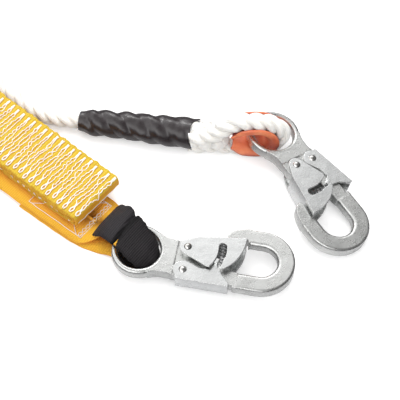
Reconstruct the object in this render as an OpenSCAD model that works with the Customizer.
// Shock absorbing lanyard: a webbing energy absorber with a self-locking snap
// hook in its loop, and a three-strand rope with a spliced eye, thimble and a
// second snap hook.
// Frame: origin at the centre of the harness hook's bowl, +X along that hook
// from its eye to its bowl, +Z square to the flat of the hook. Lengths in mm.

/* [Snap hooks] */
// Thickness of the forged hook body
hook_t = 9.5; // [9.3:0.1:9.7]
// Thickness of the body where the gate and lever straddle it
hook_waist_t = 8; // [7.6:0.1:8]
// Inside radius of the bowl
bowl_r = 12; // [11.8:0.1:12.2]
// Width of the bowl's section, measured along its radius
bowl_w = 12.4; // [12:0.1:12.8]
// Sheet thickness of the gate and the lock lever
sheet_t = 1.6; // [1.4:0.1:1.6]
// Overall width of the folded gate
gate_w = 19; // [19:0.1:19.4]
// Radius of the rivets' shafts
rivet_r = 2; // [1.8:0.1:2.1]

/* [Webbing] */
// Width of the load strap and of the tear webbing
web_w = 47; // [44:0.5:48]
// Thickness of one layer of webbing
web_t = 2.2; // [2:0.05:2.25]
// Length of the folded tear pack
pack_len = 150; // [130:5:155]
// Distance between two rows of tear stitching
row_pitch = 5.8; // [5.5:0.1:6.5]
// Length of one row of stitching
row_len = 42.6; // [38:0.5:43]
// Thread diameter of the stitching, as it stands on the webbing
thread_d = 0.5; // [0.3:0.05:0.6]

/* [Rope] */
// Diameter of the three-strand rope
rope_d = 13.5; // [12:0.25:13.5]
// Diameter of the spliced part, where the strands are tucked back
splice_d = 22; // [20:0.5:22.5]
// Wall of the heat-shrink tube
tube_t = 1; // [0.8:0.1:1.2]
// Length of the heat-shrink tube
tube_len = 89; // [80:1:92]

/* [Thimbles] */
// Radius of the thimble's bore
bore_r = 7.8; // [7.8:0.1:8]
// Depth of the rope groove
groove_h = 9; // [8:0.25:9]
// Wall of the thimble
thimble_t = 1.6; // [1.5:0.1:1.7]

/* [Hidden] */

steel = [0.78, 0.79, 0.77];
steel_dark = [0.45, 0.45, 0.46];
yellow = [0.93, 0.75, 0.2];
yellow_dark = [0.88, 0.64, 0.2];
white = [0.96, 0.95, 0.92];
black = [0.13, 0.12, 0.13];
orange = [0.88, 0.38, 0.22];

fine = 96;                     // facets of a full circle
floor_z = -11.3;               // the ground under the lanyard

// Where the pieces lie: a point in plan and a direction in degrees
strap_at = [-127.6, 17.3];
strap_dir = 152.85;
far_x = 200;                   // centre of the far loop, along the strap
far_at = strap_at + far_x * [cos(strap_dir), sin(strap_dir)];
pack_at = [-122.9, 25.8];
pack_dir = 151;
rope_eye_at = [-22.4, 104.6];
rope_eye_dir = 11;
rope_eye_z = 7.9;

// ---------- placing ----------
module place(at, turn, z = 0) translate([at[0], at[1], z]) rotate([0, 0, turn]) children();
// The anchor hook lies face down, tilted on the ground
module anchor_hook_place() {
    translate([48.6, 43.5, -1.5]) rotate([0, 0, -45.2]) rotate([0, 4.2, 0]) rotate([-7.2, 0, 0])
        rotate([180, 0, 0]) children();
}
module strap_place() place(strap_at, strap_dir) children();
module pack_place() place(pack_at, pack_dir) children();
// The anchor eye stands on edge, the far eye lies flat
module anchor_eye_place() place(rope_eye_at, rope_eye_dir, rope_eye_z) rotate([90, 0, 0]) children();
module far_eye_place() place(far_at, run_dir + 180) children();
module both() {
    children();
    mirror([0, 0, 1]) children();
}

// ---------- snap hook ----------
gate_pivot = [-52.5, -0.6];
lever_pivot = [-53, -17.3];
rivet_play = 0.05;             // radial clearance round a rivet's shaft
rivet_head_r = 2.9;
side_gap = 0.03;               // gap beside rivet heads and spacers
gate_inner = gate_w / 2 - sheet_t;
lever_inner = hook_waist_t / 2 + 0.3;
lever_outer = lever_inner + sheet_t;
lever_swing = 11;              // degrees the anchor hook's lever stands out

// Eye at the hook's -X end: a ring, round at both faces
eye_at = [-87, -6.2];
eye_in = 15.5;
eye_out = 20;
eye_mid = (eye_in + eye_out) / 2;
eye_bar_r = (eye_out - eye_in) / 2;

// Ends of the thinner waist, and its upper and lower edges at the neck
waist_start = -60;
waist_end = -14.4;
waist_top = 5.6;
waist_low = -22.3;

// Edge rounding of the bowl's section, and the neck's hollow fillets
bowl_round_in = 2.5;
bowl_round_out = 1.6;
fillet_r = 18;
fillet_top = [-63.4, waist_top];
fillet_low = [-68.3, -21.3];

// Outlines of the body, as [x, y]
neck_points = [[-87, -6.2], [-87, 8], [-74.6, 9.5], [-63.4, 9.5], fillet_top,
    [waist_start, waist_top], [waist_start, waist_low], [-63, -21.3], fillet_low,
    [-68.3, -23.6], [-77.2, -23.6], [-87, -20]];
waist_points = [[waist_end + 0.4, -bowl_r - 0.6], [waist_end - 0.3, -11.9], [-40, -9.5],
    [-46.9, -3.2], [-52.5, waist_top], [waist_start - 0.2, waist_top],
    [waist_start - 0.2, waist_low], [-17, waist_low], [-17, -24], [waist_end + 0.4, -24.2]];
nose_points = [[-10, 24.3], [-13.5, 23.8], [-17.8, 22.7], [-21.6, 21.2], [-24.4, 19.4],
    [-25.9, 17.6], [-26.4, 15.8], [-26.1, 14.2], [-25.2, 13.25], [-11.5, 15.4],
    [-10.9, 12.6], [-10, 12.2]];

// Gate cheek about its rivet, as [x, y]; the folded bridge follows its top edge
gate_top = [[6.5, 9.1], [40.2, 14.6]];
gate_points = concat([[-2.4, 5.28]], gate_top, [[40.4, 10], [40, 0], [36, -12.9],
    [15.9, -12.9], [14.3, -12.4], [-2.3, -5.32]]);
// Slot in the gate, an arc about its rivet
slot_in = 22;
slot_out = 27.9;
slot_end = 9.7;                // degrees

// Lock lever about its rivet, as [x, y]; the folded bridge follows its lower edge
lever_low = [[-4.3, -7.8], [33.4, -7.8]];
lever_points = concat([[-4.9, -4.9]], lever_low, [[33.4, -5.6], [31, -2.6], [27.6, 0.6],
    [26.1, 4.5], [25.4, 9.6], [21.4, 11], [20.2, 7], [18, 3.6], [11, 3], [3, 6.32]]);

module bowl_section() {
    half = hook_t / 2;
    outer = bowl_r + bowl_w;
    translate([bowl_r + bowl_round_in, -half])
        square([bowl_w - bowl_round_in - bowl_round_out, hook_t]);
    translate([bowl_r, bowl_round_in - half])
        square([bowl_round_in + 0.1, hook_t - 2 * bowl_round_in]);
    translate([outer - bowl_round_out - 0.1, bowl_round_out - half])
        square([bowl_round_out + 0.1, hook_t - 2 * bowl_round_out]);
    for (s = [-1, 1]) {
        translate([bowl_r + bowl_round_in, s * (half - bowl_round_in)])
            circle(r = bowl_round_in, $fn = fine);
        translate([outer - bowl_round_out, s * (half - bowl_round_out)])
            circle(r = bowl_round_out, $fn = fine);
    }
}
// Section of the eye's ring, grown on all sides
module ring_section(grow) {
    half = hook_t / 2 + 0.06 - eye_bar_r;
    translate([eye_in - grow, -half]) square([2 * (eye_bar_r + grow), 2 * half]);
    for (s = [-1, 1]) translate([eye_mid, s * half]) circle(r = eye_bar_r + grow, $fn = fine);
}
// The plate between the ring and the waist
module neck_outline() {
    difference() {
        polygon(neck_points);
        translate(fillet_top + [0, fillet_r]) circle(r = fillet_r, $fn = fine);
        translate(fillet_low - [0, fillet_r]) circle(r = fillet_r, $fn = fine);
        translate(eye_at) circle(r = eye_mid, $fn = fine);
    }
}
module waist_outline() {
    polygon(waist_points);
    translate(gate_pivot) circle(r = 6.2, $fn = fine);
}
module hook_body() {
    tip_len = 10.5;            // straight between the bowl and the nose
    color(steel) difference() {
        union() {
            rotate([0, 0, -90]) rotate_extrude(angle = 180, $fn = fine) bowl_section();
            rotate([90, 0, -90]) linear_extrude(-waist_end) bowl_section();
            translate([-tip_len, 0, 0]) rotate([90, 0, 90]) linear_extrude(tip_len) bowl_section();
            linear_extrude(hook_t, center = true) polygon(nose_points);
            linear_extrude(hook_waist_t, center = true) waist_outline();
            linear_extrude(hook_t, center = true) neck_outline();
            translate([eye_at[0], eye_at[1], 0]) rotate_extrude($fn = fine) ring_section(0);
        }
        for (pivot = [gate_pivot, lever_pivot])
            translate([pivot[0], pivot[1], -hook_t])
                cylinder(r = rivet_r + rivet_play, h = 2 * hook_t, $fn = fine);
        // blind pocket of the lever spring
        translate([-33, -14, 0]) rotate([90, 0, 0]) cylinder(r = 2.6, h = 12, $fn = fine);
    }
}
// Part of a ring between two radii and two angles
module sector(inner, outer, from, to) {
    reach = 60;
    intersection() {
        difference() {
            circle(r = outer, $fn = fine);
            circle(r = inner, $fn = fine);
        }
        polygon(concat([[0, 0]], [for (a = [from, (from + to) / 2, to]) reach * [cos(a), sin(a)]]));
    }
}
module gate_outline() {
    difference() {
        union() {
            circle(r = 5.8, $fn = fine);
            intersection() {
                polygon(gate_points);
                translate([8, 12]) circle(r = 32.2, $fn = 2 * fine);
            }
        }
        circle(r = rivet_r + rivet_play, $fn = fine);
        // the slot is a little narrower over its middle stretch
        sector(slot_in, slot_out, -60, -17.3);
        sector(slot_in, slot_out - 0.5, -18, -7);
        sector(slot_in, slot_out, -8, slot_end);
        rotate(slot_end) translate([(slot_in + slot_out) / 2, 0])
            circle(r = (slot_out - slot_in) / 2, $fn = fine);
    }
}
module hook_gate() {
    color(steel) translate([gate_pivot[0], gate_pivot[1], 0]) {
        both() translate([0, 0, gate_inner]) linear_extrude(sheet_t) gate_outline();
        linear_extrude(gate_w, center = true)
            polygon(concat(gate_top, [[40.35, 13.0], [6.76, 7.52]]));
    }
}
module lever_outline() {
    difference() {
        union() {
            circle(r = 6.9, $fn = fine);
            polygon(lever_points);
        }
        circle(r = rivet_r + rivet_play, $fn = fine);
    }
}
// Flush with the body at turn 0; a negative turn lets it stand out
module hook_lever(turn) {
    to_gate = gate_pivot - lever_pivot;
    color(steel) place(lever_pivot, turn) {
        both() translate([0, 0, lever_inner]) linear_extrude(sheet_t) lever_outline();
        // bent-out tooth that runs in the gate's slot
        both() place(to_gate, -19) translate([22.5, -2, lever_inner])
            cube([2.2, 4, 9.3 - lever_inner]);
        linear_extrude(2 * lever_outer, center = true)
            polygon(concat(lever_low, [for (i = [1, 0]) lever_low[i] + [0, sheet_t]]));
    }
}
// Shaft through the plates, with a domed head beyond half_grip on each side
module rivet(pivot, half_grip, dome_h) {
    sphere_r = (pow(rivet_head_r, 2) + pow(dome_h, 2)) / (2 * dome_h);
    box = rivet_head_r + 1;
    base = half_grip + side_gap;
    color(steel) translate([pivot[0], pivot[1], 0]) {
        cylinder(r = rivet_r, h = 2 * half_grip + 0.2, center = true, $fn = fine);
        both() intersection() {
            translate([0, 0, base + dome_h - sphere_r]) sphere(r = sphere_r, $fn = fine);
            translate([-box, -box, base]) cube([2 * box, 2 * box, dome_h + 1]);
        }
    }
}
module hook_gate_rivet() rivet(gate_pivot, gate_w / 2, 1.75);
module hook_lever_rivet() rivet(lever_pivot, lever_outer, 1.4);
module hook_gate_spacers() {
    base = hook_waist_t / 2 + side_gap;
    color(steel) both() translate([gate_pivot[0], gate_pivot[1], base]) difference() {
        cylinder(r = 4.5, h = gate_inner - side_gap - base, $fn = fine);
        translate([0, 0, -1]) cylinder(r = rivet_r + rivet_play, h = 9, $fn = fine);
    }
}
// Faces of a capped tube whose points come ring by ring
function tube_faces(rings, sides) = concat(
    [[for (k = [0:sides - 1]) k]],
    [[for (k = [sides - 1:-1:0]) (rings - 1) * sides + k]],
    [for (i = [0:rings - 2]) for (k = [0:sides - 1]) let (next = (k + 1) % sides)
        [i * sides + k, (i + 1) * sides + k, (i + 1) * sides + next, i * sides + next]]);
// Share of the spring's rise at share f of its length; the end coils are nearly closed
function coil_rise(f) = f < 0.1 ? f * 0.3
    : f > 0.9 ? 1 - (1 - f) * 0.3
    : 0.03 + (f - 0.1) * 0.94 / 0.8;
// Compression spring along +Z; radius is that of the wire's centre line
module spring(radius, wire_d, height, turns) {
    sides = 8;
    steps = turns * 14;
    wire_r = wire_d / 2;
    points = [for (i = [0:steps])
        let (turn = 360 * turns * i / steps, z = coil_rise(i / steps) * (height - wire_d) + wire_r)
        for (k = [0:sides - 1]) let (q = 360 * k / sides, out = radius + wire_r * cos(q))
            [out * cos(turn), out * sin(turn), z + wire_r * sin(q)]];
    polyhedron(points = points, faces = tube_faces(steps + 1, sides), convexity = 8);
}
module hook_gate_spring() {
    color(steel_dark) translate([-28, -10.1, 0]) rotate([-90, 0, 0])
        spring(radius = 3, wire_d = 0.9, height = 19.2, turns = 8);
}
module hook_lever_spring(height) {
    color(steel_dark) translate([-33, -14.1, 0]) rotate([90, 0, 0])
        spring(radius = 1.95, wire_d = 0.6, height = height, turns = 7);
}
lever_spring_h = 9.2;          // with the lever flush
lever_spring_out = 3.3;        // longer by this with the lever out

module harness_hook_body() hook_body();
module harness_hook_gate() hook_gate();
module harness_hook_lock_lever() hook_lever(0);
module harness_hook_gate_rivet() hook_gate_rivet();
module harness_hook_lever_rivet() hook_lever_rivet();
module harness_hook_gate_spacers() hook_gate_spacers();
module harness_hook_gate_spring() hook_gate_spring();
module harness_hook_lever_spring() hook_lever_spring(lever_spring_h);
module anchor_hook_body() anchor_hook_place() hook_body();
module anchor_hook_gate() anchor_hook_place() hook_gate();
module anchor_hook_lock_lever() anchor_hook_place() hook_lever(-lever_swing);
module anchor_hook_gate_rivet() anchor_hook_place() hook_gate_rivet();
module anchor_hook_lever_rivet() anchor_hook_place() hook_lever_rivet();
module anchor_hook_gate_spacers() anchor_hook_place() hook_gate_spacers();
module anchor_hook_gate_spring() anchor_hook_place() hook_gate_spring();
module anchor_hook_lever_spring() {
    anchor_hook_place() hook_lever_spring(lever_spring_h + lever_spring_out);
}

// ---------- webbing ----------
// Undersides: the tail lies on the ground, the load strap on the tail, the pack on both
tail_z = floor_z + 0.1;
strap_z = tail_z + web_t + 0.1;
pack_z = strap_z + web_t + 0.9;
layer_pitch = web_t + 0.2;
pack_top = pack_z + 5 * layer_pitch + web_t;
stitch_gap = 0.02;             // stitching stands this far off the webbing

// Along the strap's own x
hinge_x = -7;                  // where the webbing loop flexes
strap_start = hinge_x + 2;
gather_x = 152;                // the full width ends here
loop_w = 16;                   // width of the gathered webbing
loop_top_z = 8.9;
loop_top_x = far_x - 31;
loop_low_x = 165;
loop_end = far_x + 7;

// The harness hook's eye in the strap's frame, and the webbing's gap round its ring
strap_eye = [-46.85, 2.4];
ring_gap = 0.35;

// Flat piece of webbing between two x
module slab(from, to, width, z) translate([from, -width / 2, z]) cube([to - from, width, web_t]);
module load_strap() {
    color(yellow_dark) strap_place() {
        slab(strap_start, gather_x + 1, web_w, strap_z);
        // far loop: the strap gathers, rises over the thimble, goes through it and comes back below
        for (start = [[loop_top_x, loop_top_z], [loop_low_x, tail_z]]) {
            hull() {
                slab(gather_x, gather_x + 0.5, web_w, strap_z);
                slab(start[0], start[0] + 1, loop_w, start[1]);
            }
            slab(start[0], loop_end, loop_w, start[1]);
        }
        translate([far_x, 0, tail_z]) cylinder(r = 5.8, h = loop_top_z - tail_z + 0.5, $fn = fine);
    }
}
module load_strap_tail() color(yellow) strap_place() slab(strap_start, 52.7, web_w, tail_z);
// Fold joining two layers, seen from the edge; side is 1 towards +x, -1 towards -x
module fold(x, low, high, side) {
    mid = pack_z + (low + high) / 2 * layer_pitch + web_t / 2;
    outer = (high - low) / 2 * layer_pitch + web_t / 2;
    intersection() {
        translate([x, mid]) difference() {
            circle(r = outer, $fn = fine);
            circle(r = outer - web_t, $fn = fine);
        }
        translate([side > 0 ? x - 0.05 : x - outer - 1, mid - outer - 1])
            square([outer + 1.05, 2 * outer + 2]);
    }
}
// Six layers of folded webbing
module tear_webbing() {
    near = 8.4;
    far = pack_len - 2.4;
    starts = [near + 8, near, near, near + 6, near, near];    // from the bottom layer up
    color(yellow) pack_place() translate([0, web_w / 2, 0]) rotate([90, 0, 0])
        linear_extrude(web_w) {
            for (k = [0:5])
                translate([starts[k], pack_z + k * layer_pitch]) square([far - starts[k], web_t]);
            for (pair = [[1, 5], [2, 4]]) fold(near, pair[0], pair[1], -1);
            for (k = [0, 2, 4]) fold(far, k, k + 1, 1);
        }
}
module tear_stitching() {
    first_x = 6;
    row_w = 2.2;
    last = floor((pack_len - 16) / row_pitch);
    color(white) pack_place() for (i = [0:last])
        translate([first_x + i * row_pitch - row_w / 2, -row_len / 2, pack_top + stitch_gap])
            cube([row_w, row_len, thread_d]);
}
// Thread on top of the load strap between two points
module thread(from, to) {
    run = to - from;
    place(from, atan2(run[1], run[0]), strap_z + web_t + stitch_gap)
        translate([0, -thread_d, 0]) cube([norm(run), 2 * thread_d, thread_d]);
}
// A box with crossed diagonals and extra bars at both ends
module box_stitching() {
    half_w = 17.3;
    bars_x = [-4.2, -1.8, 0.6, 44, 46, 48];
    color(white) strap_place() {
        for (s = [-1, 1]) {
            thread([bars_x[0], s * half_w], [bars_x[5], s * half_w]);
            thread([bars_x[2], s * half_w], [bars_x[3], -s * half_w]);
        }
        for (x = bars_x) thread([x, -half_w], [x, half_w]);
    }
}
// Shell wrapped round part of the eye's ring, between two distances from it
module ring_shell(near, far, half_angle) {
    place(strap_eye, -half_angle) rotate_extrude(angle = 2 * half_angle, $fn = fine) difference() {
        ring_section(far);
        ring_section(near);
    }
}
// Thin upright slice across the strap
module cross_slice(x, y, width, z, height) {
    translate([x, y - width / 2, z]) cube([0.2, width, height]);
}
// The loop through the harness hook's eye
module harness_loop_webbing() {
    color(yellow) strap_place() {
        ring_shell(ring_gap, ring_gap + web_t, 40);
        difference() {
            hull() {
                cross_slice(hinge_x - 2.4, 0, 38, tail_z, 2 * web_t + 0.1);
                cross_slice(-24.4, strap_eye[1], 22, -6.9, 13.8);
            }
            translate([strap_eye[0], strap_eye[1], -15])
                cylinder(r = eye_out + 0.4 + web_t / 2, h = 30, $fn = fine);
        }
    }
}
module wear_sleeve() {
    color(black) strap_place() difference() {
        ring_shell(ring_gap + web_t + 0.1, ring_gap + web_t + 1.3, 41);
        translate([-24.6, -30, -20]) cube([40, 60, 40]);
    }
}

// ---------- rope ----------
rope_r = rope_d / 2;
rope_z = floor_z + rope_r + 0.15;
rope_fit = 0.25;               // gap between the rope and a thimble
rope_squash = 4.55;            // half height of the rope pressed under the anchor thimble
splice_r = splice_d / 2;
splice_z = floor_z + splice_r + tube_t + 0.2;

function along(point, dir, dist) = point + dist * [cos(dir), sin(dir)];
function raise(point, z) = [point[0], point[1], z];

// Splices, each measured from its start; the tube fits over the taper
anchor_splice_at = [-43, 102.3];
anchor_splice_dir = 180.8;
tube_from = 26;
tube_to = tube_from + tube_len;
tube_gap = 0.12;
tube_end_z = floor_z + rope_r + 0.2 + tube_t + 0.3;
// Distance from the splice's start, radius, level
splice_stations = [
    [2, 6, splice_z], [6, 9, splice_z], [12, splice_r, splice_z], [18, splice_r, splice_z],
    [tube_from, splice_r, splice_z], [tube_to, rope_r + 0.2, tube_end_z]];

// Bend from the anchor splice's run to the run along the pack
run_dir = 151;
corner = [-189.2, 100.3];
bend_r = 60;
bend_tangent = bend_r * tan((anchor_splice_dir - run_dir) / 2);
bend_centre = along(along(corner, anchor_splice_dir + 180, bend_tangent),
    anchor_splice_dir - 90, bend_r);

// Turn between the two parallel runs at the far end: three arcs of one radius
far_splice_at = along(far_at, run_dir, 20);
turn_start = along(far_at, run_dir, 142);
side = [sin(run_dir), -cos(run_dir)];                // across the runs, away from the pack
side_dir = atan2(side[1], side[0]);
run_gap = (corner - far_at) * side;
turn_r = 42;
turn_angle = asin((run_gap / 2 + turn_r) / (2 * turn_r));
turn_centre_1 = turn_start - turn_r * side;
turn_centre_2 = turn_start + run_gap / 2 * side
    + along([0, 0], run_dir, 2 * turn_r * cos(turn_angle));
turn_centre_3 = turn_start + (run_gap + turn_r) * side;

// Rope flex points, at the head of the turn and beside the pack
turn_flex = along(turn_centre_2, run_dir, turn_r);
pack_flex = along(corner, run_dir, 45);
flex_gap = 7.4;                // the middle part starts this far past the turn's flex point

// Points on an arc at the rope's level, from step number first on
function arc(centre, radius, from, to, steps, first = 0) =
    [for (i = [first:steps]) raise(along(centre, from + (to - from) * i / steps, radius), rope_z)];
// Rounded rope end past a point
end_angles = [15, 30, 45, 60, 75, 88];
end_radii = [for (a = end_angles) rope_r * cos(a)];
function end_points(point, dir) =
    [for (a = end_angles) raise(along(point, dir, rope_r * sin(a)), rope_z)];
function rope_radii(path) = [for (point = path) rope_r];
function path_dir(path, i) =
    let (step = path[min(i + 1, len(path) - 1)] - path[max(i - 1, 0)]) atan2(step[1], step[0]);

// Solid swept along [x, y, z] points that lie near one level, with the half
// width in plan and the half height at each point
module sweep(path, half_w, half_h) {
    sides = 20;
    rings = len(path);
    points = [for (i = [0:rings - 1]) let (dir = path_dir(path, i))
        for (k = [0:sides - 1]) let (q = 360 * k / sides, across = half_w[i] * cos(q))
            path[i] + [-across * sin(dir), across * cos(dir), half_h[i] * sin(q)]];
    polyhedron(points = points, faces = tube_faces(rings, sides), convexity = 10);
}
module plain_rope(path) sweep(path, rope_radii(path), rope_radii(path));
// Rope whose last end is rounded past the tip
module round_ended_rope(path, tip, dir) {
    radii = concat(rope_radii(path), end_radii);
    sweep(concat(path, end_points(tip, dir)), radii, radii);
}

// Rope eye in its own plane: x away from the splice, y up, between an upper and a lower leg
eye_top_r = bore_r + thimble_t + rope_fit + rope_r;
eye_low_r = rope_eye_z - floor_z - rope_squash - 0.2;
function eye_path(upper, top_r, low_r, lower) = concat(
    upper,
    [[0, top_r, 0]],
    [for (i = [1:13]) let (a = 90 - 180 * i / 14)
        [2.5 + (top_r + 2.4 * cos(a)) * cos(a), (a > 0 ? top_r : low_r) * sin(a), 0]],
    [[0, -low_r, 0]],
    lower);
module rope_eye_vertical() {
    drop = splice_z - rope_eye_z;
    path = eye_path(
        [[-44, 3.5 + drop, 0], [-34, 6 + drop, 0], [-26, 5, 0], [-19, 12.5, 0],
            [-10, eye_top_r, 0]],
        eye_top_r, eye_low_r,
        [[-10, -eye_low_r, 0], [-19, -eye_low_r + 0.4, 0], [-28, -5 + drop, 0],
            [-44, -4.5 + drop, 0]]);
    // the rope flattens over five steps round the eye
    squash_from = floor(len(path) / 2) - 1;
    half_w = [for (i = [0:len(path) - 1])
        rope_r - max(0, min(1, (i - squash_from) / 5)) * (rope_r - rope_squash)];
    anchor_eye_place() sweep(path, half_w, rope_radii(path));
}
module rope_eye_flat() {
    leg = [[-44, 3.2, 0], [-34, 4.2, 0], [-26, 6.5, 0], [-19, 12.5, 0], [-10, eye_top_r, 0]];
    other_leg = [for (i = [4:-1:0]) [leg[i][0], -leg[i][1], 0]];
    far_eye_place() plain_rope(eye_path(leg, eye_top_r, eye_top_r, other_leg));
}
// Splice, from the eye's throat to the plain rope: round, then one long taper inside the tube
module splice(at, dir) {
    radii = [for (s = splice_stations) s[1]];
    sweep([for (s = splice_stations) raise(along(at, dir, s[0]), s[2])], radii, radii);
}
// Points where the plain rope leaves the tube
function tube_leave(at, dir) = [for (d = [-4, 1]) raise(along(at, dir, tube_to + d), tube_end_z)];
module heat_shrink(at, dir) {
    wide = splice_r + tube_gap;
    narrow = rope_r + 0.2 + tube_gap;
    color(black) place(along(at, dir, tube_from), dir, splice_z)
        rotate([0, 90 + atan((splice_z - tube_end_z) / tube_len), 0])
            rotate_extrude($fn = fine) polygon([[wide, 0], [wide + tube_t, 0],
                [narrow + tube_t, tube_len], [narrow, tube_len]]);
}
module rope_anchor_part() {
    color(white) {
        rope_eye_vertical();
        splice(anchor_splice_at, anchor_splice_dir);
        plain_rope(concat(
            tube_leave(anchor_splice_at, anchor_splice_dir),
            arc(bend_centre, bend_r, anchor_splice_dir + 90, run_dir + 90, 6),
            [raise(along(corner, run_dir, 36), rope_z)]));
    }
}
module rope_middle_part() {
    path = concat(
        arc(turn_centre_2, turn_r, run_dir - asin(flex_gap / turn_r),
            side_dir - 90 + turn_angle, 12),
        arc(turn_centre_3, turn_r, side_dir + 180 - 90 + turn_angle, side_dir + 180, 12),
        [raise(pack_flex, rope_z)]);
    color(white) round_ended_rope(path, pack_flex, run_dir + 180);
}
module rope_absorber_part() {
    path = concat(
        tube_leave(far_splice_at, run_dir),
        arc(turn_centre_1, turn_r, side_dir, side_dir + 90 - turn_angle, 6),
        arc(turn_centre_2, turn_r, side_dir + 270 - turn_angle, run_dir, 14, first = 1));
    color(white) {
        rope_eye_flat();
        splice(far_splice_at, run_dir);
        round_ended_rope(path, turn_flex, side_dir);
    }
}
module anchor_heat_shrink() heat_shrink(anchor_splice_at, anchor_splice_dir);
module absorber_heat_shrink() heat_shrink(far_splice_at, run_dir);

// ---------- thimbles ----------
module channel_section() {
    half = rope_r + rope_fit;
    translate([bore_r, -half - thimble_t]) square([thimble_t, 2 * (half + thimble_t)]);
    for (s = [0, 1]) mirror([0, s])
        translate([bore_r, half]) square([thimble_t + groove_h, thimble_t]);
}
// A channel bent round its bore, bore along Z, with a short straight between two round ends
module thimble() {
    straight = 3;
    color(orange) translate([-0.5, 0, 0]) {
        translate([straight, 0, 0]) rotate([0, 0, -90])
            rotate_extrude(angle = 180, $fn = fine) channel_section();
        rotate([0, 0, 90]) rotate_extrude(angle = 180, $fn = fine) channel_section();
        for (s = [0, 1]) mirror([0, s, 0])
            rotate([90, 0, 90]) linear_extrude(straight) channel_section();
    }
}
module anchor_thimble() anchor_eye_place() thimble();
module absorber_thimble() far_eye_place() thimble();

harness_hook_body();
harness_hook_gate();
harness_hook_lock_lever();
harness_hook_gate_rivet();
harness_hook_lever_rivet();
harness_hook_gate_spacers();
harness_hook_gate_spring();
harness_hook_lever_spring();
anchor_hook_body();
anchor_hook_gate();
anchor_hook_lock_lever();
anchor_hook_gate_rivet();
anchor_hook_lever_rivet();
anchor_hook_gate_spacers();
anchor_hook_gate_spring();
anchor_hook_lever_spring();
load_strap();
load_strap_tail();
tear_webbing();
tear_stitching();
box_stitching();
harness_loop_webbing();
wear_sleeve();
anchor_thimble();
absorber_thimble();
rope_anchor_part();
rope_middle_part();
rope_absorber_part();
anchor_heat_shrink();
absorber_heat_shrink();
